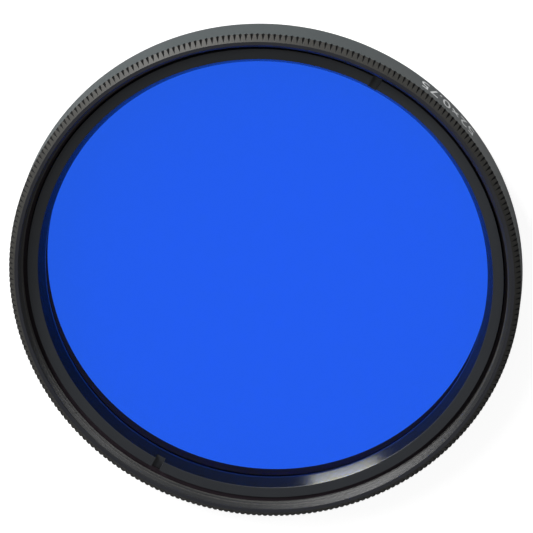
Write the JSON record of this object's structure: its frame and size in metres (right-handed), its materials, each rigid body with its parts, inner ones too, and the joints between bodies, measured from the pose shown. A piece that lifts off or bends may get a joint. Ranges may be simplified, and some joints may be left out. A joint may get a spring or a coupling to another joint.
{
  "type": "colour lens filter",
  "caption": "Round screw-in colour filter for a camera lens: blue glass clamped in a black ring, with a male thread at the rear and a female thread at the front.",
  "frame": {"origin": "centre of the rear end of the male thread, on which the filter lies", "axes": "+Z along the optical axis, from the male thread at the rear to the knurled front edge; +X through a spanner slot of the retaining ring"},
  "size_m": [0.054, 0.054, 0.006],
  "materials": {
    "filter_ring": "black anodised, satin barrel",
    "filter_glass": "polished blue glass, dyed through",
    "retaining_ring": "black anodised, turned"
  },
  "bodies": {
    "root": {"filter_ring": "filter_ring", "filter_glass": "filter_glass", "retaining_ring": "retaining_ring"}
  },
  "joints": []
}
